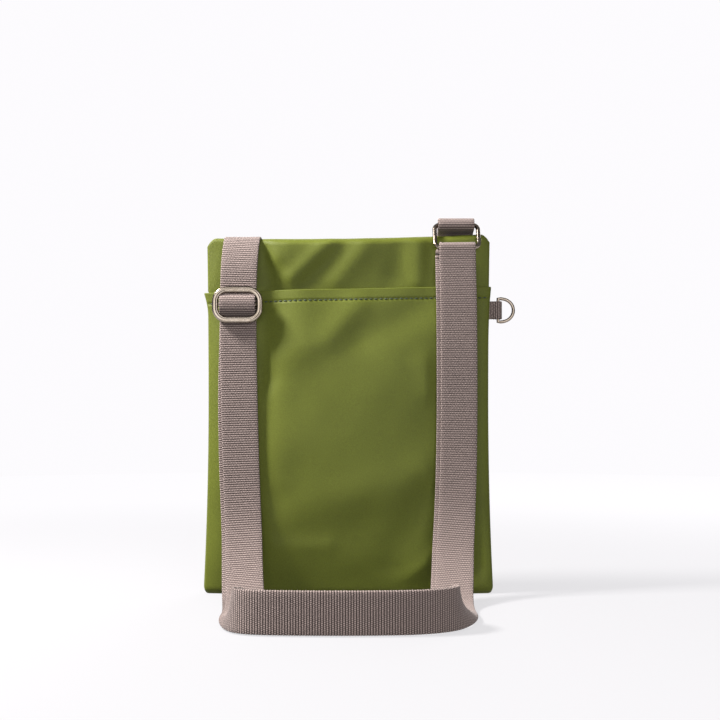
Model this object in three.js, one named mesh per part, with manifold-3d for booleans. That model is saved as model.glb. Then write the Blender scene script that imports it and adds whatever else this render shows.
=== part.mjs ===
// Crossbody purse: a flat nylon bag with a slip pocket, a zipped compartment and a webbing strap.
// Millimetres, +Z up. The origin is the centre of the base, on the surface that the bag stands on.
// The slip pocket faces -Y and the zip faces +Y. Soft panels are thin closed sheets.
import * as THREE from 'three';
import Module from 'manifold-3d';
import { mergeVertices } from 'three/addons/utils/BufferGeometryUtils.js';

const wasm = await Module();
wasm.setup();

// ---------------------------------------------------------------- driving dimensions

const HEIGHT = 245.6;                // top fold above the floor, at the middle
const HALF_WIDTH = 97;               // at the waist
const WAIST_Z = 134;
const BOTTOM_FLARE = 3.5;            // extra half width at the base
const TOP_FLARE = 1;
const TOP_TILT = 1.5;                // the top fold is this much higher at its +X end
const TOP_DIP = 1.9;                 // and this much lower at its middle than at its ends
const CORNER_START = 0.93;           // part of the half width where the round top corners begin
const CORNER_DROP = 6;
const SEAM_DEPTH = 1.5;              // half thickness of the bag body at a side seam
const PUFF = 6;                      // how squarely a panel rolls off towards its side seams

const FABRIC = 1.2;                  // nylon panel with its backing
const LINING = 0.5;
const LINING_INSET = 2.8;            // from a panel's outer face to the lining's outer face
const LINING_REACH = 0.88;           // part of the half width that the lining spans
const GAP = 0.3;                     // clearance between pieces that are sewn or rest together

const MOUTH_Z = 209.4;               // slip pocket mouth, at the middle
const MOUTH_SLANT = 0.023;           // rise of the mouth per millimetre of X
const POKE_LEFT = 2.4;               // how far the mouth's -X corner stands out at the side
const POKE_LEFT_REACH = 16;          // and how far down from the mouth it does so
const POKE_RIGHT = 1.3;
const POKE_RIGHT_REACH = 40;

const ZIP_Z = 200;
const ZIP_SLOT = 9;                  // half height of the slot between the two panel edges
const ZIP_HALF_LENGTH = 86;
const ZIP_OPEN_HALF = 74;            // half length of the part that stands open
const ZIP_GAPE = 5;                  // half height of the open zip at its middle
const COIL_HEIGHT = 2.4;
const COIL_THICK = 1.4;
const COIL_INSET = 1.5;
const TAPE_THICK = 0.6;
const TAPE_INSET = 1.9;
const TAPE_REACH = 17;               // half height to the tape's hidden edge

const WEB_WIDTH = 25;                // strap webbing
const WEB = 1.5;                     // its thickness
const LANE = 74.5;                   // the strap and the ring tab sit this far from the middle

const SLIDER_Z = 198;                // strap adjuster
const SLIDER_Y = -19.1;
const RING_TOP = new THREE.Vector3(LANE, -1.6, 255);
const RING_BAR_SPACING = 19.5;
const RING_LEAN = 0.51;              // radians from hanging straight down, resting on the top fold
const RING_WIRE = 1.5;
const D_RING_X = 103.8;              // straight side of the D-ring
const D_RING_Z = 196;
const D_RING_WIRE = 1.15;
const ZIP_SLIDER_X = 67;             // parked at the open end
const ZIP_CHANNEL = 1.5;             // from the slider's middle to its plates
const ZIP_PLATE = 0.8;
const ZIP_SLIDER_LENGTH = 9.2;
const ZIP_SLIDER_NOSE = 4;           // half width at its front
const ZIP_SLIDER_TAIL = 2.8;         // half width at its back
const BRIDGE_RISE = 3.7;             // from the slider's top plate to the middle of its bridge
const BRIDGE_REACH = 3.3;            // half span of the bridge
const BRIDGE_WIRE = 0.9;
const BRIDGE_SINK = 0.1;             // how deep the bridge's feet go into the plate
const STOP_DEPTH = 2.2;
const LINK_LENGTH = 7.8;             // pull link
const LINK_WIDTH = 3.2;
const LINK_WIRE = 0.55;              // half thickness
const PULL_LENGTH = 22;
const PULL_WIDTH = 6;
const PULL_THICK = 1.3;
const PULL_HOLE_Z = 8.2;             // middle of the pull's hole above the middle of the pull
const PULL_DROP = 14.15;             // middle of the pull below the bridge, where it hangs

// Half thickness of each face at the middle of the bag, as [height, depth].
const POCKET_FACE = [[0, 6.8], [30, 10.5], [90, 13], [150, 12.8], [212, 12]];
const NEAR_FACE = [[0, 4.6], [60, 5.4], [150, 5.6], [250, 5.6]];
const FAR_FACE = [[0, 6.5], [30, 10.5], [90, 13], [150, 12], [200, 9.4], [232, 6.3], [250, 5.6]];
const POCKET_SEAM = 3.2;             // half thickness at the side seam, pocket included

// The strap's upper layer, from its sewn end behind the bag, over the top, down to the floor,
// round in front of the bag on its edge, and up to the ring. Each row is x, y, z, lift, shift, gap:
// lift is 0 where the webbing lies flat and 1 where it stands with its outer edge down, shift is
// how far the under layer peeks out towards -X, and gap is the distance between the layers' middles.
const STRAP_ROUTE = [
  [-71, 8.9, 212, 0, 0, 1.9],
  [-71.6, 8.0, 226, 0, 0, 1.9],
  [-72.1, 6.9, 238, 0, 0, 1.9],
  [-72.5, 4.6, 245.3, 0, 0, 1.9],
  [-72.9, 0, 248.0, 0, 0, 1.9],
  [-73.2, -4.8, 245.6, 0, 0, 1.9],
  [-73.6, -8.8, 239, 0, 0, 1.9],
  [-74.1, -12.2, 230, 0, 0, 1.9],
  [-74.5, -14.3, 219, 0, 0, 1.9],
  [-74.8, -14.7, 200, 0, 0, 1.9],
  [-74.7, -15.1, 172, 0, 0.8, 1.9],
  [-74.0, -15.4, 134, 0, 2.2, 1.9],
  [-72.9, -15.7, 93, 0, 2.7, 1.9],
  [-71.6, -16.8, 62, 0, 2.7, 1.9],
  [-70.4, -20.6, 42, 0, 2.7, 1.9],
  [-69.2, -28.7, 24, 0, 2.7, 1.9],
  [-67.6, -40, 11, 0, 2.7, 1.9],
  [-66.0, -53, 4.7, 0, 2.2, 1.9],
  [-64.2, -69, 3.1, 0, 1.8, 1.9],
  [-63.4, -84, 4.1, 0.06, 1.4, 2],
  [-63.6, -97, 6.2, 0.16, 1, 2.2],
  [-64.4, -108, 9.2, 0.34, 0.4, 2.4],
  [-65.6, -118, 11.8, 0.55, 0.1, 2.6],
  [-66.6, -127, 13, 0.78, 0, 2.6],
  [-65.8, -135, 13.2, 0.95, 0, 2.5],
  [-61.5, -141, 13.2, 1, 0, 2.3],
  [-52, -144.6, 13.2, 1, 0, 2.1],
  [-36, -146.4, 13.2, 1, 0, 1.9],
  [-18, -147.3, 13.2, 1, 0, 1.9],
  [0, -147.5, 13.2, 1, 0, 1.9],
  [19, -147, 13.2, 1, 0, 1.9],
  [36, -145.6, 13.2, 1, 0, 1.9],
  [49, -142.3, 13.2, 1, 0, 2],
  [59, -137, 13.2, 1, 0, 2.3],
  [65.2, -130.5, 13.2, 0.97, 0, 2.5],
  [67.6, -122.5, 13.1, 0.84, 0, 2.6],
  [68.4, -114, 12.3, 0.6, 0.1, 2.6],
  [67.8, -104.5, 9.9, 0.38, 0.4, 2.4],
  [66.9, -94, 6.9, 0.2, 1, 2.2],
  [66.6, -82, 4, 0.06, 1.4, 2],
  [67.2, -68, 4.2, 0, 2, 1.9],
  [68.2, -55.5, 10, 0, 2.5, 1.9],
  [69.8, -43.5, 21, 0, 2.7, 1.9],
  [71.2, -32.5, 36, 0, 2.7, 1.9],
  [73.2, -23.5, 60, 0, 2.7, 1.9],
  [74.6, -19, 92, 0, 2.7, 1.9],
  [75.2, -16.9, 130, 0, 2.7, 1.9],
  [75.2, -16.1, 170, 0, 2.7, 1.9],
  [75.0, -15.2, 202, 0, 2.7, 1.9],
  [74.7, -14.5, 216, 0, 2.7, 2.4],
  [74.5, -13.87, 230.3, 0, 2.4, 5.5],
];
const STEPS_PER_ROW = 2;
const UNDER_START = 9.5;             // route row where the under layer begins, behind the adjuster

// ---------------------------------------------------------------- helpers

const vec = (x, y, z) => new THREE.Vector3(x, y, z);

/** A smooth curve of height against depth through a few [z, depth] points. */
function smoothProfile(points, z) {
  const last = points.length - 1;
  const at = (i) => points[Math.min(Math.max(i, 0), last)];
  let i = 0;
  while (i < last - 1 && z > points[i + 1][0]) i += 1;
  const [z0, d0] = points[i];
  const [z1, d1] = points[i + 1];
  const slope = (a, b) => (b[0] === a[0] ? 0 : (b[1] - a[1]) / (b[0] - a[0]));
  const m0 = slope(at(i - 1), at(i + 1)) * (z1 - z0);
  const m1 = slope(at(i), at(i + 2)) * (z1 - z0);
  const t = Math.min(Math.max((z - z0) / (z1 - z0), 0), 1);
  const a = 2 * t ** 3 - 3 * t ** 2 + 1;
  const b = t ** 3 - 2 * t ** 2 + t;
  const c = -2 * t ** 3 + 3 * t ** 2;
  const d = t ** 3 - t ** 2;
  return a * d0 + b * m0 + c * d1 + d * m1;
}

/** A closed thin body: `face(u, v)` is its outer face, and its inner face is `thickness` behind. */
function sheetGeometry(face, columns, rows, thickness) {
  const step = 1e-3;
  const outer = [];
  const inner = [];
  for (let j = 0; j <= rows; j += 1) {
    for (let i = 0; i <= columns; i += 1) {
      const u = i / columns;
      const v = j / rows;
      const alongU = face(Math.min(u + step, 1), v).sub(face(Math.max(u - step, 0), v));
      const alongV = face(u, Math.min(v + step, 1)).sub(face(u, Math.max(v - step, 0)));
      const normal = alongU.cross(alongV).normalize();
      const point = face(u, v);
      outer.push(point);
      inner.push(point.clone().addScaledVector(normal, -thickness));
    }
  }
  const across = columns + 1;
  const offset = outer.length;
  const index = [];
  const quad = (a, b, c, d) => index.push(a, b, c, a, c, d);
  for (let j = 0; j < rows; j += 1) {
    for (let i = 0; i < columns; i += 1) {
      const a = j * across + i;
      quad(a, a + 1, a + across + 1, a + across);
      quad(offset + a, offset + a + across, offset + a + across + 1, offset + a + 1);
    }
  }
  for (let i = 0; i < columns; i += 1) {
    const top = rows * across + i;
    quad(i, offset + i, offset + i + 1, i + 1);
    quad(top, top + 1, offset + top + 1, offset + top);
  }
  for (let j = 0; j < rows; j += 1) {
    const left = j * across;
    const right = left + columns;
    quad(left, left + across, offset + left + across, offset + left);
    quad(right, offset + right, offset + right + across, right + across);
  }
  const geometry = new THREE.BufferGeometry().setFromPoints([...outer, ...inner]);
  geometry.setIndex(index);
  return geometry;
}

/** A closed ring of oval wire along a flat closed path in the local XY plane. */
function wireLoop(path, halfAcross, halfThick, sides = 10) {
  const points = [];
  const index = [];
  const count = path.length;
  for (let i = 0; i < count; i += 1) {
    const ahead = path[(i + 1) % count];
    const behind = path[(i + count - 1) % count];
    const along = ahead.clone().sub(behind).normalize();
    for (let k = 0; k < sides; k += 1) {
      const angle = (2 * Math.PI * k) / sides;
      const out = halfAcross * Math.cos(angle);
      const lift = halfThick * Math.sin(angle);
      points.push(vec(path[i].x + along.y * out, path[i].y - along.x * out, lift));
      const a = i * sides + k;
      const b = i * sides + ((k + 1) % sides);
      const c = ((i + 1) % count) * sides + ((k + 1) % sides);
      const d = ((i + 1) % count) * sides + k;
      index.push(a, d, c, a, c, b);
    }
  }
  const geometry = new THREE.BufferGeometry().setFromPoints(points);
  geometry.setIndex(index);
  return geometry;
}

/** Points round a rectangle with round corners, anticlockwise. */
function roundedPath(width, height, radius, perCorner = 5) {
  const corners = [[1, -1, -90], [1, 1, 0], [-1, 1, 90], [-1, -1, 180]];
  const points = [];
  for (const [sx, sy, start] of corners) {
    for (let k = 0; k <= perCorner; k += 1) {
      const angle = THREE.MathUtils.degToRad(start + (90 * k) / perCorner);
      points.push(new THREE.Vector2(
        sx * (width / 2 - radius) + radius * Math.cos(angle),
        sy * (height / 2 - radius) + radius * Math.sin(angle),
      ));
    }
  }
  return points;
}

/** Joins overlapping closed geometries into one closed body. */
function union(geometries) {
  const solids = geometries.map((source) => {
    const bare = source.clone();
    bare.deleteAttribute('normal');
    bare.deleteAttribute('uv');
    const merged = mergeVertices(bare.index ? bare : mergeVertices(bare));
    return new wasm.Manifold(new wasm.Mesh({
      numProp: 3,
      vertProperties: new Float32Array(merged.attributes.position.array),
      triVerts: new Uint32Array(merged.index.array),
    }));
  });
  const mesh = solids.reduce((whole, solid) => whole.add(solid)).getMesh();
  const geometry = new THREE.BufferGeometry();
  geometry.setAttribute('position', new THREE.BufferAttribute(new Float32Array(mesh.vertProperties), 3));
  geometry.setIndex(new THREE.BufferAttribute(new Uint32Array(mesh.triVerts), 1));
  return geometry;
}

/** Webbing that follows points in the YZ plane, with its width along X and its face outwards. */
function webbingInYZ(points, centreX, steps, thickness = WEB, width = WEB_WIDTH) {
  const curve = new THREE.CatmullRomCurve3(points.map(([y, z]) => vec(0, y, z)), false, 'catmullrom');
  const face = (u, v) => {
    const point = curve.getPoint(v);
    const along = curve.getTangent(v);
    const out = vec(0, along.z, -along.y).multiplyScalar(thickness / 2);
    return point.add(out).add(vec(centreX + (0.5 - u) * width, 0, 0));
  };
  return sheetGeometry(face, 1, steps, thickness);
}

// ---------------------------------------------------------------- materials

const nylon = new THREE.MeshStandardMaterial({ color: 0x3f5226, roughness: 0.62, metalness: 0 });
const liningCloth = new THREE.MeshStandardMaterial({ color: 0x8b8478, roughness: 0.8, metalness: 0 });
const webbing = new THREE.MeshStandardMaterial({ color: 0x8d7f80, roughness: 0.85, metalness: 0 });
const nickel = new THREE.MeshStandardMaterial({ color: 0x9a958c, roughness: 0.32, metalness: 1 });
const zipTape = new THREE.MeshStandardMaterial({ color: 0x35451f, roughness: 0.85, metalness: 0 });
const zipCoil = new THREE.MeshStandardMaterial({ color: 0x2e3b1c, roughness: 0.45, metalness: 0 });

const purse = new THREE.Group();

/** Adds one named mesh to the purse. */
function addPiece(name, geometry, material, parent = purse) {
  const mesh = new THREE.Mesh(geometry, material);
  mesh.name = name;
  parent.add(mesh);
  return mesh;
}

// ---------------------------------------------------------------- bag surfaces

/** Half width of the bag at a height. */
function halfWidth(z) {
  const below = Math.max(WAIST_Z - z, 0) / WAIST_Z;
  const above = Math.max(z - WAIST_Z, 0) / (HEIGHT - WAIST_Z);
  return HALF_WIDTH + BOTTOM_FLARE * below ** 2 + TOP_FLARE * above ** 2;
}

/** Spreads columns so that they are closer together towards the side seams; -1 to 1. */
function spread(u) {
  const t = 2 * u - 1;
  return Math.sign(t) * (1 - (1 - Math.abs(t)) ** 1.6);
}

/** Distance of a face from the middle plane, at a part of the half width and a height. */
function depth(profile, side, z, seam = SEAM_DEPTH) {
  return seam + (smoothProfile(profile, z) - seam) * (1 - Math.abs(side) ** PUFF);
}

/** Height of the top fold, with its round puffed corners. */
function topHeight(side) {
  const corner = Math.max(Math.abs(side) - CORNER_START, 0) / (1 - CORNER_START);
  return HEIGHT + TOP_TILT * side + TOP_DIP * side ** 2 - CORNER_DROP * corner ** 2;
}

/** The near face, over the top fold and down the yoke; v runs from the base to the yoke's edge. */
function nearAndYoke(side, v, inset, baseZ, yokeZ) {
  const top = topHeight(side) - inset;
  const radius = depth(NEAR_FACE, side, HEIGHT) - inset;
  const foldZ = top - radius;
  const nearEnd = 0.5;
  const foldEnd = 0.8;
  if (v < nearEnd) {
    const z = baseZ + (foldZ - baseZ) * (v / nearEnd);
    const fade = smoothProfile([[0, 0], [1, 1]], v / nearEnd);
    const face = depth(NEAR_FACE, side, z) - inset;
    return vec(side * halfWidth(z), -(face + (radius - face) * fade), z);
  }
  if (v < foldEnd) {
    const angle = (Math.PI * (v - nearEnd)) / (foldEnd - nearEnd);
    const z = foldZ + radius * Math.sin(angle);
    return vec(side * halfWidth(z), -radius * Math.cos(angle), z);
  }
  const part = (v - foldEnd) / (1 - foldEnd);
  const z = foldZ + (yokeZ - foldZ) * part;
  const face = depth(FAR_FACE, side, z) - inset;
  const join = Math.min(part * 2.5, 1);
  return vec(side * halfWidth(z), radius + (face - radius) * join, z);
}

/** The base strip, round the bottom edge and up the zip face; v runs from near to far. */
function baseAndFar(side, v, inset, topZ) {
  const far = depth(FAR_FACE, side, 4) - inset;
  const near = Math.max(depth(NEAR_FACE, side, 0) - FABRIC - GAP - inset * 0.5, 0.02);
  const radius = Math.min(3, far * 0.6);
  const baseEnd = 0.2;
  const bendEnd = 0.4;
  if (v < baseEnd) {
    const y = -near + (near + far - radius) * (v / baseEnd);
    return vec(side * halfWidth(0), y, inset);
  }
  if (v < bendEnd) {
    const angle = ((Math.PI / 2) * (v - baseEnd)) / (bendEnd - baseEnd);
    const z = inset + radius * (1 - Math.cos(angle));
    return vec(side * halfWidth(z), far - radius + radius * Math.sin(angle), z);
  }
  const part = (v - bendEnd) / (1 - bendEnd);
  const z = inset + radius + (topZ - inset - radius) * part;
  const face = depth(FAR_FACE, side, z) - inset;
  return vec(side * halfWidth(z), far + (face - far) * Math.min(part * 8, 1), z);
}

// ---------------------------------------------------------------- bag panels

function addPanels() {
  const base = GAP;
  const backFace = (u, v) => nearAndYoke(spread(u), v, 0, base, ZIP_Z + ZIP_SLOT);
  addPiece('back_panel', sheetGeometry(backFace, 12, 20, FABRIC), nylon);

  const frontFace = (u, v) => baseAndFar(spread(1 - u), v, 0, ZIP_Z - ZIP_SLOT);
  addPiece('front_panel', sheetGeometry(frontFace, 12, 15, FABRIC), nylon);

  const pocketFace = (u, v) => {
    const side = spread(u);
    const mouth = MOUTH_Z + MOUTH_SLANT * side * HALF_WIDTH;
    const z = base + (mouth - base) * v;
    const [poke0, reach] = side < 0 ? [POKE_LEFT, POKE_LEFT_REACH] : [POKE_RIGHT, POKE_RIGHT_REACH];
    const poke = poke0 * Math.max(1 - (mouth - z) / reach, 0) ** 2;
    const x = side * (halfWidth(z) + poke);
    return vec(x, -depth(POCKET_FACE, side, z, POCKET_SEAM), z);
  };
  addPiece('pocket_panel', sheetGeometry(pocketFace, 12, 12, FABRIC), nylon);
}

function addLining() {
  const reach = (u) => LINING_REACH * (2 * u - 1);
  const nearLining = (u, v) => nearAndYoke(reach(u), v, LINING_INSET, LINING_INSET + 1, 213);
  addPiece('lining_pocket_side', sheetGeometry(nearLining, 8, 15, LINING), liningCloth);
  const farLining = (u, v) => baseAndFar(reach(1 - u), v, LINING_INSET, 187);
  addPiece('lining_zip_side', sheetGeometry(farLining, 8, 10, LINING), liningCloth);
}

// ---------------------------------------------------------------- zip

/** Half height of the open mouth of the zip at x. */
function gape(x) {
  const part = Math.min(Math.abs(x) / ZIP_OPEN_HALF, 1);
  return 0.25 + (ZIP_GAPE - 0.25) * (1 - part ** 4);
}

/** A strip along the zip on the far face, from one height to another above or below its middle. */
function zipStrip(halfLength, inset, thickness, sign, lowAt, highAt) {
  const face = (u, v) => {
    const x = halfLength * (1 - 2 * u);
    const low = lowAt(x);
    const rise = low + (highAt(x) - low) * v;
    const z = ZIP_Z + sign * (sign > 0 ? rise : highAt(x) + low - rise);
    const side = x / halfWidth(z);
    return vec(x, depth(FAR_FACE, side, z) - inset, z);
  };
  return sheetGeometry(face, 20, 2, thickness);
}

/** The zip slider: two plates joined by a wedge at its front, with a bridge for the pull. */
function zipSliderGeometry() {
  const halfLength = ZIP_SLIDER_LENGTH / 2;
  const waist = halfLength * 0.2;
  const waistWidth = (ZIP_SLIDER_NOSE * 2 + ZIP_SLIDER_TAIL) / 3;
  const outline = new THREE.Shape([
    new THREE.Vector2(-halfLength, -ZIP_SLIDER_NOSE), new THREE.Vector2(waist, -waistWidth),
    new THREE.Vector2(halfLength, -ZIP_SLIDER_TAIL), new THREE.Vector2(halfLength, ZIP_SLIDER_TAIL),
    new THREE.Vector2(waist, waistWidth), new THREE.Vector2(-halfLength, ZIP_SLIDER_NOSE),
  ]);
  const makePlate = (y) => {
    const shape = new THREE.ExtrudeGeometry(outline, { depth: ZIP_PLATE, bevelEnabled: false });
    shape.rotateX(Math.PI / 2);
    shape.translate(0, y + ZIP_PLATE, 0);
    return shape;
  };
  const wedge = new THREE.BoxGeometry(2.2, 2 * ZIP_CHANNEL + ZIP_PLATE, 2);
  wedge.translate(-halfLength + 1.5, 0, 0);
  const arch = (angle, grow) => new THREE.Vector2(
    (BRIDGE_REACH + grow) * Math.cos(angle), (BRIDGE_RISE + grow) * Math.sin(angle));
  const steps = 10;
  const rim = [];
  for (let k = 0; k <= steps; k += 1) rim.push(arch((Math.PI * k) / steps, BRIDGE_WIRE / 2));
  for (let k = steps; k >= 0; k -= 1) rim.push(arch((Math.PI * k) / steps, -BRIDGE_WIRE / 2));
  const bridge = new THREE.ExtrudeGeometry(new THREE.Shape(rim), { depth: 1.6, bevelEnabled: false });
  bridge.translate(0, ZIP_CHANNEL + ZIP_PLATE - BRIDGE_SINK, -0.8);
  return union([makePlate(ZIP_CHANNEL), makePlate(-ZIP_CHANNEL - ZIP_PLATE), wedge, bridge]);
}

function addZip() {
  const coilTop = (x) => gape(x) + COIL_HEIGHT;
  const tapeEdge = (x) => coilTop(x) + GAP;
  const reach = () => TAPE_REACH;
  for (const [name, sign] of [['upper', 1], ['lower', -1]]) {
    const tape = zipStrip(ZIP_HALF_LENGTH + 3, TAPE_INSET, TAPE_THICK, sign, tapeEdge, reach);
    addPiece(`zip_tape_${name}`, tape, zipTape);
    const coil = zipStrip(ZIP_HALF_LENGTH, COIL_INSET, COIL_THICK, sign, gape, coilTop);
    addPiece(`zip_teeth_${name}`, coil, zipCoil);
  }
  const coilY = (x) => depth(FAR_FACE, x / halfWidth(ZIP_Z), ZIP_Z) - COIL_INSET - COIL_THICK / 2;
  const stopX = ZIP_HALF_LENGTH + 1.5;
  const bottomStop = addPiece('zip_bottom_stop', new THREE.BoxGeometry(2, STOP_DEPTH, 5), nickel);
  bottomStop.position.set(stopX, coilY(stopX), ZIP_Z);
  for (const [name, sign] of [['upper', 1], ['lower', -1]]) {
    const stop = addPiece(`zip_top_stop_${name}`, new THREE.BoxGeometry(2, STOP_DEPTH, 2), nickel);
    stop.position.set(-stopX, coilY(stopX), ZIP_Z + sign * 1.4);
  }

  const slider = addPiece('zip_slider_body', zipSliderGeometry(), nickel);
  slider.position.set(ZIP_SLIDER_X, coilY(ZIP_SLIDER_X + 1.5), ZIP_Z);

  // The pull hangs from the bridge: a wire link round the bridge, and a flat tab on the link.
  const bridgeY = slider.position.y + ZIP_CHANNEL + ZIP_PLATE + BRIDGE_RISE - BRIDGE_SINK;
  const linkWire = wireLoop(roundedPath(LINK_WIDTH, LINK_LENGTH, 1.1, 3), LINK_WIRE, LINK_WIRE, 8);
  const link = addPiece('zip_pull_link', linkWire, nickel);
  link.rotation.set(Math.PI / 2, Math.PI / 2, 0);
  link.position.set(ZIP_SLIDER_X, bridgeY, ZIP_Z - 2.2);
  const pullShape = new THREE.Shape(roundedPath(PULL_WIDTH, PULL_LENGTH, 2.6, 4));
  const hole = roundedPath(3, 3, 1.4, 3).map((p) => new THREE.Vector2(p.x, p.y + PULL_HOLE_Z));
  pullShape.holes.push(new THREE.Path(hole));
  const plate = new THREE.ExtrudeGeometry(pullShape, { depth: PULL_THICK, bevelEnabled: false });
  plate.rotateX(Math.PI / 2);
  plate.translate(0, PULL_THICK / 2, 0);
  const pull = addPiece('zip_pull_tab', plate, nickel);
  pull.position.set(ZIP_SLIDER_X, bridgeY, ZIP_Z - PULL_DROP);
}

// ---------------------------------------------------------------- strap

/** The strap's place, tangent, width and normal at a part of its route, counted in route rows. */
function strapFrame(row) {
  const count = STRAP_ROUTE.length - 1;
  const t = row / count;
  const along = strapCurve.getTangent(t);
  const extra = strapExtras.getPoint(t);
  const spare = strapGap.getPoint(t);
  const outward = vec(row < count / 2 ? -1 : 1, 0, 0);
  const angle = (Math.PI / 2) * Math.min(Math.max(extra.x, 0), 1);
  const width = outward.multiplyScalar(Math.cos(angle)).add(vec(0, 0, -Math.sin(angle)));
  width.addScaledVector(along, -width.dot(along)).normalize();
  const normal = width.clone().cross(along);
  const towardsMinusX = row < count / 2 ? extra.y : -extra.y;
  return { point: strapCurve.getPoint(t), width, normal, shift: towardsMinusX, gap: spare.x };
}

const routeCurve = (pick) => new THREE.CatmullRomCurve3(STRAP_ROUTE.map(pick), false, 'catmullrom');
const strapCurve = routeCurve(([x, y, z]) => vec(x, y, z));
const strapExtras = routeCurve(([, , , lift, shift]) => vec(lift, shift, 0));
const strapGap = routeCurve((row) => vec(row[5], 0, 0));

/** One layer of the strap between two route rows; the under layer sits a gap below the upper. */
function strapLayer(firstRow, lastRow, under) {
  const face = (u, v) => {
    const frame = strapFrame(firstRow + (lastRow - firstRow) * v);
    const sideways = (u - 0.5) * WEB_WIDTH + (under ? frame.shift : 0);
    const down = (under ? frame.gap : 0) - WEB / 2;
    return frame.point.addScaledVector(frame.width, sideways).addScaledVector(frame.normal, -down);
  };
  return sheetGeometry(face, 1, (lastRow - firstRow) * STEPS_PER_ROW, WEB);
}

function addStrap() {
  const last = STRAP_ROUTE.length - 1;
  addPiece('strap_upper_layer', strapLayer(0, last, false), webbing);
  addPiece('strap_under_layer', strapLayer(UNDER_START, last, true), webbing);
}

// ---------------------------------------------------------------- adjuster, rings and tabs

function addAdjuster() {
  const adjuster = new THREE.Group();
  adjuster.position.set(-74.9, SLIDER_Y, SLIDER_Z);
  adjuster.rotation.x = Math.PI / 2;
  purse.add(adjuster);
  addPiece('adjuster_frame', wireLoop(roundedPath(30.1, 20.4, 8), 1.95, 1.5), nickel, adjuster);
  const bar = new THREE.CylinderGeometry(1.3, 1.3, 25.6, 12);
  bar.rotateZ(Math.PI / 2);
  addPiece('adjuster_bar', bar, nickel, adjuster);
  const ringShape = new THREE.Shape().absarc(0, 0, 3.15, 0, 2 * Math.PI);
  ringShape.holes.push(new THREE.Path().absarc(0, 0, 1.65, 0, 2 * Math.PI, true));
  const loop = new THREE.ExtrudeGeometry(ringShape, { depth: 24.6, bevelEnabled: false, curveSegments: 8 });
  loop.translate(0, 0, -12.3);
  loop.rotateY(Math.PI / 2);
  addPiece('adjuster_loop', loop, webbing, adjuster);
}

function addRing() {
  // Tab of webbing: up from the yoke, round the ring's upper bar and back down behind itself.
  const tabRoute = [
    [10.9, 212], [10.2, 224], [9.2, 236], [8.0, 246], [4.8, 254.6], [0.8, 258.6], [-3.3, 258.3],
    [-5.4, 255], [-4.2, 251.8], [-1, 250.6], [2.6, 249.4], [5.5, 244.5], [7.1, 236], [8.2, 224], [8.9, 212],
  ].reverse();
  addPiece('ring_tab', webbingInYZ(tabRoute, LANE, 36), webbing);

  const ring = new THREE.Group();
  ring.position.copy(RING_TOP);
  ring.rotation.x = -RING_LEAN;
  purse.add(ring);
  const outline = roundedPath(30, RING_BAR_SPACING, 4);
  const wire = wireLoop(outline, RING_WIRE, RING_WIRE, 8);
  wire.rotateX(Math.PI / 2);
  wire.translate(0, 0, -RING_BAR_SPACING / 2);
  addPiece('strap_ring', wire, nickel, ring);

  // The strap's end turns over the ring's lower bar.
  const barY = RING_TOP.y - RING_BAR_SPACING * Math.sin(RING_LEAN);
  const barZ = RING_TOP.z - RING_BAR_SPACING * Math.cos(RING_LEAN);
  const turn = 2.75;
  const loopRoute = [[turn, -7.2], [turn, -4], [turn, -1]];
  for (let k = 0; k <= 4; k += 1) {
    const angle = (Math.PI * (k + 0.5)) / 5;
    loopRoute.push([turn * Math.cos(angle), turn * Math.sin(angle)]);
  }
  loopRoute.push([-turn, -1], [-turn, -4], [-turn, -7.2]);
  const placed = loopRoute.map(([y, z]) => [barY + y, barZ + z]);
  addPiece('ring_loop', webbingInYZ(placed, LANE, 16), webbing);
}

function addSideRing() {
  const dPath = [];
  const halfBar = 8.1;
  const bulge = 10.6;
  for (let k = 0; k <= 12; k += 1) {
    const angle = -Math.PI / 2 + (Math.PI * k) / 12;
    dPath.push(new THREE.Vector2(bulge * Math.cos(angle) ** 0.8, halfBar * Math.sin(angle)));
  }
  dPath.push(new THREE.Vector2(0, halfBar * 0.5), new THREE.Vector2(0, -halfBar * 0.5));
  const wire = wireLoop(dPath, D_RING_WIRE, D_RING_WIRE, 8);
  wire.rotateX(Math.PI / 2);
  const dRing = addPiece('side_d_ring', wire, nickel);
  dRing.position.set(D_RING_X, 0, D_RING_Z);

  // Tab of narrow webbing: out of the side seam, round the D-ring's straight side and back.
  const thickness = 1.2;
  const turn = 2.1;
  const route = [[-4.6, -1.4], [-3.2, -1.6], [-1.2, -turn]];
  for (let k = 0; k <= 4; k += 1) {
    const angle = -Math.PI / 2 + (Math.PI * (k + 0.5)) / 5;
    route.push([turn * Math.cos(angle), turn * Math.sin(angle)]);
  }
  route.push([-1.2, turn], [-3.2, 1.6], [-4.6, 1.4]);
  const curve = new THREE.CatmullRomCurve3(route.map(([x, y]) => vec(x, y, 0)), false, 'catmullrom');
  const width = 12.5;
  const face = (u, v) => {
    const along = curve.getTangent(v);
    const point = curve.getPoint(v).add(vec(along.y, -along.x, 0).multiplyScalar(thickness / 2));
    return point.add(vec(0, 0, (u - 0.5) * width));
  };
  const tab = addPiece('side_ring_tab', sheetGeometry(face, 1, 20, thickness), webbing);
  tab.position.set(D_RING_X, 0, D_RING_Z);
}

addPanels();
addLining();
addZip();
addStrap();
addAdjuster();
addRing();
addSideRing();

export default purse;
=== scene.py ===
"""Crossbody purse in nylon and webbing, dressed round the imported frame. Metres, +Z up."""

import math

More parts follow.
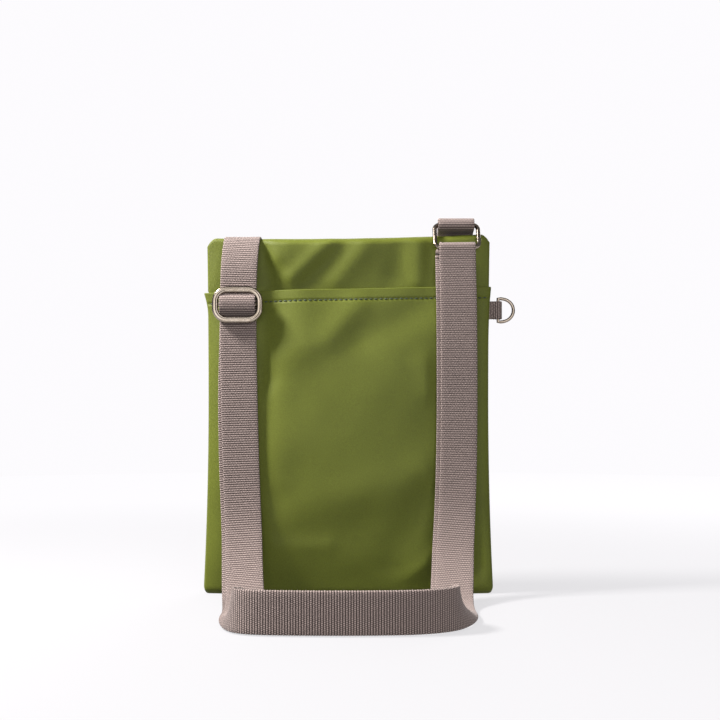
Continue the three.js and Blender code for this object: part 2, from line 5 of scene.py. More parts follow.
import bpy
import numpy as np
from mathutils import Euler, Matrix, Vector


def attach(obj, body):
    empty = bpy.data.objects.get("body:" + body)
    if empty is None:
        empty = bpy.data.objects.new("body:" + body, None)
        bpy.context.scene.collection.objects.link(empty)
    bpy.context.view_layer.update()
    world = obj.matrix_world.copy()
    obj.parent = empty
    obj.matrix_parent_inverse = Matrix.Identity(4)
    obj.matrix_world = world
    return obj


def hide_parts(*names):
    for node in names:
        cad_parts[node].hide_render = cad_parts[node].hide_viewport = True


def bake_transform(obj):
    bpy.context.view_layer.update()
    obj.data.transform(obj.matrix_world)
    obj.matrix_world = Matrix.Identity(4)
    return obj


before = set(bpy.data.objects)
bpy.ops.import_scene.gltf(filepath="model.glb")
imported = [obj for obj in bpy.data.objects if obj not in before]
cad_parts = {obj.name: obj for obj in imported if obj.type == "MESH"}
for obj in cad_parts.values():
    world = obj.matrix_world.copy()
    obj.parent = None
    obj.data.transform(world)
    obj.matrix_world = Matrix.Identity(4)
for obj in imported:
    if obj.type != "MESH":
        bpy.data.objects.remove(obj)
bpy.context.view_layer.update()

# ---- driving dimensions, as in the frame

HEIGHT = 0.2456
HALF_WIDTH = 0.097
WAIST_Z = 0.134
BOTTOM_FLARE = 0.0035
TOP_FLARE = 0.001
TOP_TILT = 0.0015           # the top edge climbs to the right and dips in the middle
TOP_DIP = 0.0019
CORNER_START = 0.93         # part of the half width where the top corners begin to drop
CORNER_DROP = 0.006
FOOT_REACH = 0.006          # the side edges draw in over this height at the foot
FOOT_INSET = 0.003
PUFF = 6                    # higher makes flatter panels that turn tighter at the seams
FABRIC = 0.0009             # thickness that the nylon shows
POCKET_FABRIC = 0.0011
SEAM_DEPTH = 0.0015
POCKET_SEAM = 0.0032
MOUTH_Z = 0.2094            # slip pocket mouth, at the middle
MOUTH_SLANT = 0.023
POKE_LEFT = 0.0024          # how far the mouth's corners stand out at the sides
POKE_LEFT_REACH = 0.016     # and how far down from the mouth
POKE_RIGHT = 0.0013
POKE_RIGHT_REACH = 0.040
HEM = 0.0072                # from the pocket mouth down to its row of stitches
ZIP_Z = 0.2
ZIP_SLOT = 0.009            # half height of the slot between the two panel edges
ZIP_HALF_LENGTH = 0.086
ZIP_OPEN_HALF = 0.074
ZIP_GAPE = 0.005            # half height of the open mouth at its middle
ZIP_SHUT = 0.00025          # and where the coils meet
SEAM_OFFSET = 0.0022        # from the slot's edge to its stitches
COIL_HEIGHT = 0.0024
COIL_THICK = 0.0014
COIL_INSET = 0.0015
COIL_PITCH = 0.0013
TAPE_INSET = 0.0019
TAPE_THICK = 0.0006
TAPE_REACH = 0.017
LINING = 0.0005
LINING_INSET = 0.0028
LINING_REACH = 0.88
WEB_WIDTH = 0.025
WEB = 0.0015
RIB = 0.00153               # pitch of the webbing's ribs
RIB_DEPTH = 0.00026
LANE = 0.0745               # x of the strap's right leg at the top
UNDER_START = 9.5           # route row where the under layer begins
STRAP_STEP = 0.001          # spacing of the points that are smoothed
LOOP_TURN = 0.00275         # from the ring's lower bar to the middle of the webbing round it
TAIL_SKEW = 0.0024          # how far left the strap's tail ends
TAIL_STEP = 0.0018
TACK_FOOT, TACK_TOP = 0.2135, 0.2255
STRAP_END_X = -0.0713
RING_TOP = Vector((LANE, -0.0016, 0.255))
RING_SPACING = 0.0195
RING_LEAN = 0.51
SLIDER = Vector((-0.0749, -0.0191, 0.198))
RING_WIRE = 0.0015
D_RING = Vector((0.1038, 0, 0.196))
D_RING_WIRE = 0.00115

# Depths of the faces from the side seams' plane, as (height, depth).
POCKET_FACE = [(0, 0.0068), (0.03, 0.0105), (0.09, 0.013), (0.15, 0.0126), (0.195, 0.0112), (0.212, 0.0098)]
NEAR_FACE = [(0, 0.0046), (0.06, 0.0054), (0.15, 0.0056), (0.25, 0.0056)]
FAR_FACE = [(0, 0.0065), (0.03, 0.0105), (0.09, 0.013), (0.15, 0.012), (0.2, 0.0094),
            (0.232, 0.0063), (0.25, 0.0056)]

# The strap's route, as in the frame: x, y, z, lift, shift, gap.
STRAP_ROUTE = np.array([
    (-0.071, 0.0089, 0.212, 0, 0, 0.0019),
    (-0.0716, 0.008, 0.226, 0, 0, 0.0019),
    (-0.0721, 0.0069, 0.238, 0, 0, 0.0019),
    (-0.0725, 0.0046, 0.2453, 0, 0, 0.0019),
    (-0.0729, 0, 0.248, 0, 0, 0.0019),
    (-0.0732, -0.0048, 0.2456, 0, 0, 0.0019),
    (-0.0736, -0.0088, 0.239, 0, 0, 0.0019),
    (-0.0741, -0.0122, 0.23, 0, 0, 0.0019),
    (-0.0745, -0.0143, 0.219, 0, 0, 0.0019),
    (-0.0748, -0.0147, 0.2, 0, 0, 0.0019),
    (-0.0747, -0.0151, 0.172, 0, 0.0008, 0.0019),
    (-0.074, -0.0154, 0.134, 0, 0.0022, 0.0019),
    (-0.0729, -0.0157, 0.093, 0, 0.0027, 0.0019),
    (-0.0716, -0.0168, 0.062, 0, 0.0027, 0.0019),
    (-0.0704, -0.0206, 0.042, 0, 0.0027, 0.0019),
    (-0.0692, -0.0287, 0.024, 0, 0.0027, 0.0019),
    (-0.0676, -0.04, 0.011, 0, 0.0027, 0.0019),
    (-0.066, -0.053, 0.0047, 0, 0.0022, 0.0019),
    (-0.0642, -0.069, 0.0031, 0, 0.0018, 0.0019),
    (-0.0634, -0.084, 0.0041, 0.06, 0.0014, 0.002),
    (-0.0636, -0.097, 0.0062, 0.16, 0.001, 0.0022),
    (-0.0644, -0.108, 0.0092, 0.34, 0.0004, 0.0024),
    (-0.0656, -0.118, 0.0118, 0.55, 0.0001, 0.0026),
    (-0.0666, -0.127, 0.013, 0.78, 0, 0.0026),
    (-0.0658, -0.135, 0.0132, 0.95, 0, 0.0025),
    (-0.0615, -0.141, 0.0132, 1, 0, 0.0023),
    (-0.052, -0.1446, 0.0132, 1, 0, 0.0021),
    (-0.036, -0.1464, 0.0132, 1, 0, 0.0019),
    (-0.018, -0.1473, 0.0132, 1, 0, 0.0019),
    (0, -0.1475, 0.0132, 1, 0, 0.0019),
    (0.019, -0.147, 0.0132, 1, 0, 0.0019),
    (0.036, -0.1456, 0.0132, 1, 0, 0.0019),
    (0.049, -0.1423, 0.0132, 1, 0, 0.002),
    (0.059, -0.137, 0.0132, 1, 0, 0.0023),
    (0.0652, -0.1305, 0.0132, 0.97, 0, 0.0025),
    (0.0676, -0.1225, 0.0131, 0.84, 0, 0.0026),
    (0.0684, -0.114, 0.0123, 0.6, 0.0001, 0.0026),
    (0.0678, -0.1045, 0.0099, 0.38, 0.0004, 0.0024),
    (0.0669, -0.094, 0.0069, 0.2, 0.001, 0.0022),
    (0.0666, -0.082, 0.004, 0.06, 0.0014, 0.002),
    (0.0672, -0.068, 0.0042, 0, 0.002, 0.0019),
    (0.0682, -0.0555, 0.01, 0, 0.0025, 0.0019),
    (0.0698, -0.0435, 0.021, 0, 0.0027, 0.0019),
    (0.0712, -0.0325, 0.036, 0, 0.0027, 0.0019),
    (0.0732, -0.0235, 0.06, 0, 0.0027, 0.0019),
    (0.0746, -0.019, 0.092, 0, 0.0027, 0.0019),
    (0.0752, -0.0169, 0.13, 0, 0.0027, 0.0019),
    (0.0752, -0.0161, 0.17, 0, 0.0027, 0.0019),
    (0.075, -0.0152, 0.202, 0, 0.0027, 0.0019),
    (0.0747, -0.0145, 0.216, 0, 0.0027, 0.0024),
    (0.0745, -0.01387, 0.2303, 0, 0.0024, 0.0055),
])


# ---- curves and profiles

def hermite(p0, p1, m0, m1, t):
    """Cubic between two values with the given slopes, for t from 0 to 1."""
    return ((2 * t**3 - 3 * t**2 + 1) * p0 + (t**3 - 2 * t**2 + t) * m0
            + (3 * t**2 - 2 * t**3) * p1 + (t**3 - t**2) * m1)


def profile(points, z):
    """Smooth depth at heights z through a few (height, depth) points."""
    heights, depths = np.array(points, float).T
    slopes = np.empty_like(depths)
    slopes[1:-1] = (depths[2:] - depths[:-2]) / (heights[2:] - heights[:-2])
    slopes[0] = (depths[1] - depths[0]) / (heights[1] - heights[0])
    slopes[-1] = (depths[-1] - depths[-2]) / (heights[-1] - heights[-2])
    i = np.clip(np.searchsorted(heights, z, side="right") - 1, 0, len(heights) - 2)
    span = heights[i + 1] - heights[i]
    t = np.clip((z - heights[i]) / span, 0, 1)
    return hermite(depths[i], depths[i + 1], slopes[i] * span, slopes[i + 1] * span, t)


def catmull(rows, t):
    """Values on the curve through rows at t, counted in rows."""
    padded = np.concatenate([[2 * rows[0] - rows[1]], rows, [2 * rows[-1] - rows[-2]]])
    i = np.clip(np.floor(t).astype(int), 0, len(rows) - 2)
    p0, p1, p2, p3 = (padded[i + k] for k in range(4))
    return hermite(p1, p2, (p2 - p0) / 2, (p3 - p1) / 2, (t - i)[:, None])


def unit(vectors):
    return vectors / np.linalg.norm(vectors, axis=-1, keepdims=True)


def arc_length(points):
    """Distance along a line of points, from 0."""
    steps = np.linalg.norm(np.diff(points, axis=0), axis=1)
    return np.concatenate([[0], np.cumsum(steps)])


def resample(points, distances, *others):
    """A list of the points and of other rows of values at these distances along the line."""
    length = arc_length(points)

    def at(values):
        return np.stack([np.interp(distances, length, column) for column in values.T], axis=1)

    return [at(points)] + [at(values) for values in others]


def smooth_rows(values, reach):
    """Averages neighbouring rows with a bell weight; the ends stay where they are."""
    weights = np.exp(-0.5 * (np.arange(-3 * reach, 3 * reach + 1) / reach) ** 2)
    weights /= weights.sum()
    before = 2 * values[0] - values[3 * reach:0:-1]
    after = 2 * values[-1] - values[-2:-3 * reach - 2:-1]
    padded = np.concatenate([before, values, after])
    return np.stack([np.convolve(column, weights, "valid") for column in padded.T], axis=1)


def smoothstep(low, high, value):
    t = np.clip((value - low) / (high - low), 0, 1)
    return t * t * (3 - 2 * t)


# ---- mesh builders

def mesh_object(name, vertices, faces, uvs=None):
    """A smooth object from vertices and faces, with one (u, v) in metres for each vertex."""
    mesh = bpy.data.meshes.new(name)
    mesh.from_pydata(np.asarray(vertices, float).tolist(), [], faces)
    if uvs is not None:
        layer = mesh.uv_layers.new(name="cloth")
        corners = np.empty(len(mesh.loops), int)
        mesh.loops.foreach_get("vertex_index", corners)
        layer.data.foreach_set("uv", uvs[corners].ravel())
    mesh.shade_smooth()
    made = bpy.data.objects.new(name, mesh)
    bpy.context.scene.collection.objects.link(made)
    return made


def grid_faces(rows, columns, wrap_rows=False, wrap_columns=False):
    """Quads of a grid whose vertices run column by column within each row."""
    j = np.arange(rows if wrap_rows else rows - 1)
    i = np.arange(columns if wrap_columns else columns - 1)
    j, i = (grid.ravel() for grid in np.meshgrid(j, i, indexing="ij"))
    here, above = j * columns, (j + 1) % rows * columns
    right = (i + 1) % columns
    return np.stack([here + i, here + right, above + right, above + i], axis=1)


def grid_normals(points):
    """Unit normals of a grid of points: along the columns, times along the rows."""
    along_u = np.gradient(points, axis=1)
    along_v = np.gradient(points, axis=0)
    normals = np.cross(along_u, along_v)
    return normals / np.maximum(np.linalg.norm(normals, axis=-1, keepdims=True), 1e-12)


def grid_lengths(points, axis):
    """Distances along a grid of points in one direction, from 0."""
    steps = np.linalg.norm(np.diff(points, axis=axis), axis=2)
    return np.insert(np.cumsum(steps, axis=axis), 0, 0, axis=axis)


def sheet(name, outer, thickness):
    """A closed thin body behind an outer face, with its edges rounded over."""
    rows, columns, _ = outer.shape
    length_v, length_u = grid_lengths(outer, 0), grid_lengths(outer, 1)
    middle_column = columns // 2
    length_u -= length_u[:, middle_column, None]
    length_v = np.broadcast_to(length_v[:, middle_column, None], (rows, columns))
    uv = np.stack([length_u, length_v], axis=2).reshape(-1, 2)

    inner = outer - grid_normals(outer) * thickness
    count = rows * columns
    index = np.arange(count).reshape(rows, columns)
    rim = np.concatenate([index[0, :-1], index[:-1, -1], index[-1, :0:-1], index[:0:-1, 0]])
    beside = np.concatenate([index[1, :-1], index[:-1, -2], index[-2, :0:-1], index[:0:-1, 1]])
    outer_flat, inner_flat = outer.reshape(-1, 3), inner.reshape(-1, 3)
    outwards = unit(outer_flat[rim] - outer_flat[beside] + 1e-12)
    rounded = (outer_flat[rim] + inner_flat[rim]) / 2 + outwards * thickness * 0.4

    faces = grid_faces(rows, columns)
    edge = np.arange(len(rim))
    after = (edge + 1) % len(rim)
    on_edge, on_next = 2 * count + edge, 2 * count + after
    side_out = np.stack([rim[edge], on_edge, on_next, rim[after]], axis=1)
    side_in = np.stack([on_edge, count + rim[edge], count + rim[after], on_next], axis=1)
    all_faces = np.concatenate([faces, faces[:, ::-1] + count, side_out, side_in])
    vertices = np.concatenate([outer_flat, inner_flat, rounded])
    made = mesh_object(name, vertices, all_faces.tolist(), np.concatenate([uv, uv, uv[rim]]))
    made.data.validate()
    return made


def swept(name, centre, across, lift, profile_points, closed=False):
    """A closed section swept along a line. The section's points are (across, lift) pairs, and each
    may change along the line: profile_points has the shape (stations, points, 2)."""
    stations = len(centre)
    sides = profile_points.shape[1]
    vertices = (centre[:, None] + across[:, None] * profile_points[..., :1]
                + lift[:, None] * profile_points[..., 1:])
    faces = grid_faces(stations, sides, wrap_rows=closed, wrap_columns=True).tolist()
    if not closed:
        faces.append(list(range(sides))[::-1])
        faces.append([(stations - 1) * sides + k for k in range(sides)])
    around = profile_points[0, :, 0]
    uv = np.stack(np.broadcast_arrays(around[None, :], arc_length(centre)[:, None]), axis=2)
    return mesh_object(name, vertices.reshape(-1, 3), faces, uv.reshape(-1, 2))


def webbing(name, line, across, width=WEB_WIDTH, thickness=WEB, columns=9):
    """Ribbed webbing along a line, with real ribs and round selvages. Its width direction is one
    vector, or one for each point."""
    length = arc_length(line)[-1]
    ribs = max(round(length / RIB), 1)
    stations = np.arange(4 * ribs + 1)
    across = np.broadcast_to(np.array(across, float), line.shape)
    centre, wide = resample(line, length * stations / stations[-1], across)
    along = unit(np.gradient(centre, axis=0))
    wide = unit(wide - along * np.sum(wide * along, axis=1, keepdims=True))
    normal = np.cross(wide, along)
    crest = np.array([0.0, 0.78, 1.0, 0.78])[stations % 4]
    crest = crest * np.where((stations // 4) % 2 == 0, 1.0, 0.86)
    edge = thickness / 2
    flat = width / 2 - edge
    turn = np.radians([60, 25, -25, -60])
    # The other face and selvage are these, turned half round.
    core = np.zeros((columns + len(turn), 2))
    core[:, 0] = np.append(np.linspace(-flat, flat, columns), np.full(len(turn), flat))
    outward = np.stack([np.append(np.zeros(columns), np.cos(turn)),
                        np.append(np.ones(columns), np.sin(turn))], axis=1)
    core, outward = np.concatenate([core, -core]), np.concatenate([outward, -outward])
    section = core + outward * edge
    swell = (crest - 1)[:, None, None] * RIB_DEPTH
    return swept(name, centre, wide, normal, section[None] + outward[None] * swell)


def wire_ring(name, path, half_across, half_thick, place, sides=20, groove=0.0):
    """A closed ring of oval wire round a flat path, put in place by a matrix. A groove is the part of
    its thickness that is missing along the middle of each face."""
    flat = np.array(path, float)
    along = unit(np.roll(flat, -1, axis=0) - np.roll(flat, 1, axis=0))
    outward = np.stack([along[:, 1], -along[:, 0], np.zeros(len(along))], axis=1)
    centre = np.concatenate([flat, np.zeros((len(flat), 1))], axis=1)
    angles = np.linspace(0, 2 * np.pi, sides, endpoint=False)
    groove_reach = 0.42
    dip = 1 - groove * np.exp(-(np.cos(angles) / groove_reach) ** 2)
    section = np.stack([half_across * np.cos(angles), half_thick * dip * np.sin(angles)], axis=1)
    up = np.tile([0.0, 0.0, 1.0], (len(flat), 1))
    made = swept(name, centre, outward, up, np.tile(section[None], (len(flat), 1, 1)), closed=True)
    made.data.transform(place)
    return made


def rounded_path(width, height, radius, per_corner=12):
    """Points round a rectangle with round corners, anticlockwise."""
    points = []
    for sx, sy, start in ((1, -1, -90), (1, 1, 0), (-1, 1, 90), (-1, -1, 180)):
        for angle in np.radians(np.linspace(start, start + 90, per_corner + 1)):
            points.append((sx * (width / 2 - radius) + radius * math.cos(angle),
                           sy * (height / 2 - radius) + radius * math.sin(angle)))
    return points


def stitches(name, line, out, pitch=0.0034, length=0.0026, radius=0.00028, sink=0.3):
    """A row of thread stitches along a line: short round-ended strokes on cloth that faces out."""
    total = arc_length(line)[-1]
    count = max(int(total / pitch), 1)
    middles = (np.arange(count) + 0.5) * total / count
    spot, = resample(line, middles)
    ahead, = resample(line, np.clip(middles + 1e-4, 0, total))
    behind, = resample(line, np.clip(middles - 1e-4, 0, total))
    along, out = unit(ahead - behind), np.array(out, float)
    side = np.cross(along, out)
    rings, sides = 7, 8
    bend = np.linspace(-1, 1, rings)
    thick = np.sqrt(np.clip(1 - bend**4, 0.03, 1)) * radius
    dip = -bend**2 * radius * 1.2 + radius * sink
    angles = np.linspace(0, 2 * np.pi, sides, endpoint=False)
    vertices, faces = [], []
    ring_faces = grid_faces(rings, sides, wrap_columns=True)
    for k in range(count):
        base = len(vertices) * rings * sides
        ring = spot[k] + along[k] * (bend * length / 2)[:, None] + out * dip[:, None]
        around = side[k] * np.cos(angles)[:, None] + out * np.sin(angles)[:, None]
        vertices.append((ring[:, None] + around[None] * thick[:, None, None]).reshape(-1, 3))
        faces += (ring_faces + base).tolist()
        faces.append([base + i for i in range(sides)][::-1])
        faces.append([base + (rings - 1) * sides + i for i in range(sides)])
    return mesh_object(name, np.concatenate(vertices), faces)


# ---- materials

class Surface:
    """One material: its Principled shader and the nodes that feed it."""

    def __init__(self, name, **sockets):
        self.material = bpy.data.materials.new(name)
        self.material.use_nodes = True
        self.tree = self.material.node_tree
        self.shader = self.tree.nodes["Principled BSDF"]
        for socket, value in sockets.items():
            self.shader.inputs[socket.replace("_", " ")].default_value = value

    def node(self, kind, inputs, output=0, **settings):
        made = self.tree.nodes.new("ShaderNode" + kind)
        for key, value in settings.items():
            setattr(made, key, value)
        for key, value in inputs.items():
            if isinstance(value, bpy.types.NodeSocket):
                self.tree.links.new(value, made.inputs[key])
            else:
                made.inputs[key].default_value = value
        return made.outputs[output]

    def math(self, operation, a, b=0.0):
        return self.node("Math", {0: a, 1: b}, operation=operation)

    def mix(self, share, a, b, blend="MIX"):
        return self.node("Mix", {0: share, 6: a, 7: b}, output=2, data_type="RGBA", blend_type=blend)

    def times(self, colour, factor):
        """A colour made darker or lighter by a factor."""
        grey = self.node("CombineColor", {0: factor, 1: factor, 2: factor})
        return self.mix(1.0, colour, grey, "MULTIPLY")

    def noise(self, vector, scale, detail=2.0):
        return self.node("TexNoise", {"Vector": vector, "Scale": scale, "Detail": detail})

    def remap(self, value, low, high, to_low=0.0, to_high=1.0):
        return self.node("MapRange", {0: value, 1: low, 2: high, 3: to_low, 4: to_high})

    def place(self):
        """Position in the object's own frame, in metres."""
        return self.node("TexCoord", {}, output=3)

    def cloth_uv(self):
        """Distances across and along the cloth, in metres."""
        split = self.tree.nodes.new("ShaderNodeSeparateXYZ")
        self.tree.links.new(self.node("UVMap", {}, uv_map="cloth"), split.inputs[0])
        return split.outputs[0], split.outputs[1]

    def weave(self, pitch):
        """A plain weave over the cloth's own (u, v), from -1 to 1."""
        u, v = self.cloth_uv()
        warp = self.math("SINE", self.math("MULTIPLY", u, 2 * math.pi / pitch))
        weft = self.math("SINE", self.math("MULTIPLY", v, 2 * math.pi / pitch))
        return self.math("MULTIPLY", warp, weft)

    def bump(self, height, distance, strength=1.0):
        return self.node("Bump", {"Height": height, "Distance": distance, "Strength": strength})

    def feed(self, **sockets):
        for socket, source in sockets.items():
            self.tree.links.new(source, self.shader.inputs[socket.replace("_", " ")])
        return self.material


def rgb(red, green, blue):
    return (red, green, blue, 1.0)


def make_nylon():
    """Fine plain-weave nylon with a soft sheen."""
    base, dark = rgb(0.142, 0.165, 0.020), rgb(0.108, 0.126, 0.013)
    cloth = Surface("nylon_cloth", Roughness=0.55, Sheen_Weight=0.1, Sheen_Roughness=0.4,
                    Sheen_Tint=rgb(0.78, 0.85, 0.4), Specular_IOR_Level=0.22)
    place = cloth.place()
    weave = cloth.weave(pitch=0.00052)
    grain = cloth.noise(place, 1500, 3)
    wear = cloth.noise(place, 24, 3)
    colour = cloth.mix(cloth.remap(grain, 0.3, 0.7), dark, base)
    colour = cloth.times(colour, cloth.remap(weave, -1, 1, 0.86, 1.1))
    colour = cloth.times(colour, cloth.remap(wear, 0.3, 0.7, 0.93, 1.07))
    height = cloth.math("ADD", cloth.math("MULTIPLY", weave, 0.5), cloth.math("MULTIPLY", grain, 0.9))
    return cloth.feed(Base_Color=colour, Roughness=cloth.remap(grain, 0.2, 0.8, 0.44, 0.62),
                      Normal=cloth.bump(height, 0.00006, 0.7))


def make_webbing():
    """Ribbed webbing: pale rib crests with painted shade that darkens the grooves between them, and warp
    ends that alternate from rib to rib.
    """
    # The groove colour is painted shade: the grooves between the ribs are drawn far darker than the crests'
    # own colour.
    crest, groove = rgb(0.405, 0.312, 0.287), rgb(0.052, 0.037, 0.033)
    end_pitch = 0.00105
    band = Surface("strap_webbing", Roughness=0.82, Sheen_Weight=0.2, Sheen_Roughness=0.5,
                   Specular_IOR_Level=0.25)
    place = band.place()
    u, v = band.cloth_uv()
    rib = band.math("ABSOLUTE", band.math("SINE", band.math("MULTIPLY", v, math.pi / RIB)))
    row = band.math("FLOOR", band.math("MULTIPLY", v, 1 / RIB))
    phase = band.math("ADD", band.math("MULTIPLY", u, 2 * math.pi / end_pitch),
                      band.math("MULTIPLY", row, math.pi))
    ends = band.math("SINE", phase)
    fibre = band.noise(place, 2600, 3)
    # Painted shade: the rib mask is 1 on the crests and 0 in the grooves, so the colour falls to the dark
    # groove colour between the ribs.
    colour = band.mix(band.remap(rib, 0.22, 0.92), groove, crest)
    colour = band.times(colour, band.remap(ends, -0.7, 0.7, 0.52, 1.18))
    colour = band.times(colour, band.remap(fibre, 0.3, 0.7, 0.84, 1.14))
    height = band.math("ADD", band.math("MULTIPLY", ends, 0.4), fibre)
    return band.feed(Base_Color=colour, Normal=band.bump(height, 0.00012, 0.8))


def make_metal():
    """Satin antique nickel with faint polishing marks."""
    base, worn = rgb(0.31, 0.262, 0.218), rgb(0.31 * 0.8, 0.262 * 0.78, 0.218 * 0.74)
    metal = Surface("satin_nickel", Metallic=1.0, Roughness=0.2)
    place = metal.place()
    marks = metal.noise(place, 900, 4)
    patches = metal.noise(place, 160, 2)
    return metal.feed(Base_Color=metal.mix(metal.remap(patches, 0.35, 0.7), base, worn),
                      Roughness=metal.remap(marks, 0.3, 0.7, 0.15, 0.3),
                      Normal=metal.bump(marks, 0.00001, 0.25))


def make_plain_cloth(name, base, dark, pitch):
    """Plain-woven cloth: lining, zip tape."""
    cloth = Surface(name, Roughness=0.85, Sheen_Weight=0.15, Specular_IOR_Level=0.25)
    weave = cloth.weave(pitch)
    fibre = cloth.noise(cloth.place(), 1800, 3)
    mixed = cloth.math("ADD", cloth.remap(weave, -1, 1, 0.0, 0.6), cloth.math("MULTIPLY", fibre, 0.4))
    return cloth.feed(Base_Color=cloth.mix(mixed, dark, base), Normal=cloth.bump(mixed, 0.0001, 0.7))


def make_thread(name, base, dark):
    """Twisted sewing thread."""
    thread = Surface(name, Roughness=0.6, Sheen_Weight=0.2)
    twist = thread.noise(thread.place(), 3800, 2)
    return thread.feed(Base_Color=thread.mix(thread.remap(twist, 0.35, 0.65), dark, base),
                       Normal=thread.bump(twist, 0.0001, 0.6))


def make_coil():
    """Nylon monofilament of the zip's coil."""
    base, dark = rgb(0.045, 0.062, 0.015), rgb(0.028, 0.040, 0.010)
    coil = Surface("zip_coil", Roughness=0.38, Specular_IOR_Level=0.5)
    mottle = coil.noise(coil.place(), 700, 2)
    return coil.feed(Base_Color=coil.mix(mottle, dark, base),
                     Roughness=coil.remap(mottle, 0.3, 0.7, 0.3, 0.46))


NYLON = make_nylon()
WEBBING = make_webbing()
METAL = make_metal()
LINING_CLOTH = make_plain_cloth("lining_cloth", rgb(0.30, 0.27, 0.22), rgb(0.20, 0.175, 0.14), 0.0006)
TAPE = make_plain_cloth("zip_tape_cloth", rgb(0.075, 0.10, 0.024), rgb(0.045, 0.062, 0.014), 0.0008)
COIL = make_coil()
GREEN_THREAD = make_thread("green_thread", rgb(0.040, 0.066, 0.028), rgb(0.018, 0.034, 0.015))
TAUPE_THREAD = make_thread("taupe_thread", rgb(0.38, 0.31, 0.28), rgb(0.24, 0.19, 0.17))


def dress(piece, material, body=None, nodes=()):
    """Gives a piece its material, the CAD nodes that it stands for and its body."""
    piece.data.materials.clear()
    piece.data.materials.append(material)
    if nodes:
        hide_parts(*nodes)
    if body:
        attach(piece, body)
    return piece


def carry_over(node):
    """Gives a metal CAD node its finish and soft edges."""
    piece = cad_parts[node]
    piece.data.materials.clear()
    piece.data.materials.append(METAL)
    edges = piece.modifiers.new("soft_edges", "BEVEL")
    edges.width = 0.00018
    edges.segments = 3
    edges.limit_method = "ANGLE"
    edges.angle_limit = math.radians(40)


# ---- strap

def strap_frames(first, last, under):
    """Centre line and width directions of one layer of the strap between two route rows."""
    rows = np.linspace(first, last, round((last - first) * 24) + 1)
    at = catmull(STRAP_ROUTE, rows)
    point, lift, shift, gap = at[:, :3], np.clip(at[:, 3], 0, 1), at[:, 4], at[:, 5]
    ahead = catmull(STRAP_ROUTE, np.clip(rows + 0.01, 0, len(STRAP_ROUTE) - 1))[:, :3]
    behind = catmull(STRAP_ROUTE, np.clip(rows - 0.01, 0, len(STRAP_ROUTE) - 1))[:, :3]
    along = unit(ahead - behind)
    side = np.where(rows < (len(STRAP_ROUTE) - 1) / 2, -1.0, 1.0)
    angle = np.pi / 2 * lift
    width = np.stack([side * np.cos(angle), np.zeros_like(side), -np.sin(angle)], axis=1)
    width = unit(width - along * np.sum(width * along, axis=1, keepdims=True))
    normal = np.cross(width, along)
    if under:
        towards_left = np.where(side < 0, shift, -shift)
        point = point + width * towards_left[:, None] - normal * gap[:, None]
    return point, width


def strap_line(first, under, end_points):
    """A layer's line and width directions at even steps, from a route row to past the last one."""
    point, width = strap_frames(first, len(STRAP_ROUTE) - 1, under)
    end = end_points(point[-1, 2])
    point = np.concatenate([point, end])
    width = np.pad(width, ((0, len(end)), (0, 0)), mode="edge")
    length = arc_length(point)[-1]
    return resample(point, np.linspace(0, length, round(length / STRAP_STEP) + 1), width)


def ring_bar():
    """Middle of the ring's lower bar."""
    return RING_TOP + Vector((0, -RING_SPACING * math.sin(RING_LEAN), -RING_SPACING * math.cos(RING_LEAN)))


def loop_tail(foot_z):
    """The strap's end: up in front of the ring's lower bar, over it and down behind, a little askew."""
    bar = ring_bar()
    rise = np.linspace(foot_z, bar.z, 6)[1:]
    up = np.stack([np.full(5, LANE), np.full(5, bar.y - LOOP_TURN), rise], axis=1)
    angles = np.linspace(np.pi, 0, 25)[1:]
    over = np.stack([np.full(24, LANE), bar.y + LOOP_TURN * np.cos(angles),
                     bar.z + LOOP_TURN * np.sin(angles)], axis=1)
    x = LANE - TAIL_SKEW * np.array([0.35, 0.8, 1, 1])
    down = np.stack([x, np.full(4, bar.y + LOOP_TURN), bar.z - np.arange(1, 5) * TAIL_STEP], axis=1)
    return np.concatenate([up, over, down])


def under_tip(foot_z):
    """The under layer's last points, which lap over the end of the tail."""
    y = ring_bar().y + LOOP_TURN + np.array([0.0004, 0.0008, 0.0011])
    return np.stack([np.full(3, LANE - TAIL_SKEW), y, foot_z + np.arange(1, 4) * 0.0009], axis=1)


def make_strap():
    soften = 5
    line, across = strap_line(0, False, loop_tail)
    # Smoothing takes out the route's small kinks, but not the turn round the ring's bar.
    soft = smooth_rows(line, soften)
    near_ring = smoothstep(0.2, 0.222, line[:, 2]) * (line[:, 0] > 0)
    line = soft + (line - soft) * near_ring[:, None]
    upper = webbing("strap_upper", line, unit(smooth_rows(across, soften)))

    under_line, across = strap_line(UNDER_START, True, under_tip)
    under_line = smooth_rows(under_line, soften)
    under = webbing("strap_under", under_line, unit(smooth_rows(across, soften)))

    dress(upper, WEBBING, nodes=("strap_upper_layer", "ring_loop"))
    dress(under, WEBBING, nodes=("strap_under_layer",))
    for layer in (upper, under):
        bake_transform(layer)


# ---- adjuster, rings and tabs

def upright(spot):
    """The matrix that stands a flat shape up to face the camera, with its middle at a spot."""
    place = Euler((math.pi / 2, 0, 0)).to_matrix().to_4x4()
    place.translation = spot
    return place


def make_adjuster():
    oval = rounded_path(0.0301, 0.0204, 0.008, 16)
    cast = wire_ring("adjuster_frame_cast", oval, 0.0021, 0.0015, upright(SLIDER), 40, groove=0.3)
    dress(cast, METAL, "adjuster", ("adjuster_frame",))
    # Webbing that comes from behind the frame, over the bar and back behind the frame.
    half_length, behind, climb = 0.0118, 0.0028, 0.0052
    z = np.linspace(half_length, -half_length, 61)
    hump = np.clip(1 - np.abs(z / 0.0076) ** 2.8, 0, 1) ** 0.7
    y = behind - climb * hump
    line = np.stack([np.full_like(z, SLIDER.x), SLIDER.y + y, SLIDER.z + z], axis=1)
    cover = webbing("adjuster_webbing", smooth_rows(line, 3), (-1, 0, 0), width=0.0246)
    dress(cover, WEBBING, "adjuster", ("adjuster_loop",))
    carry_over("adjuster_bar")


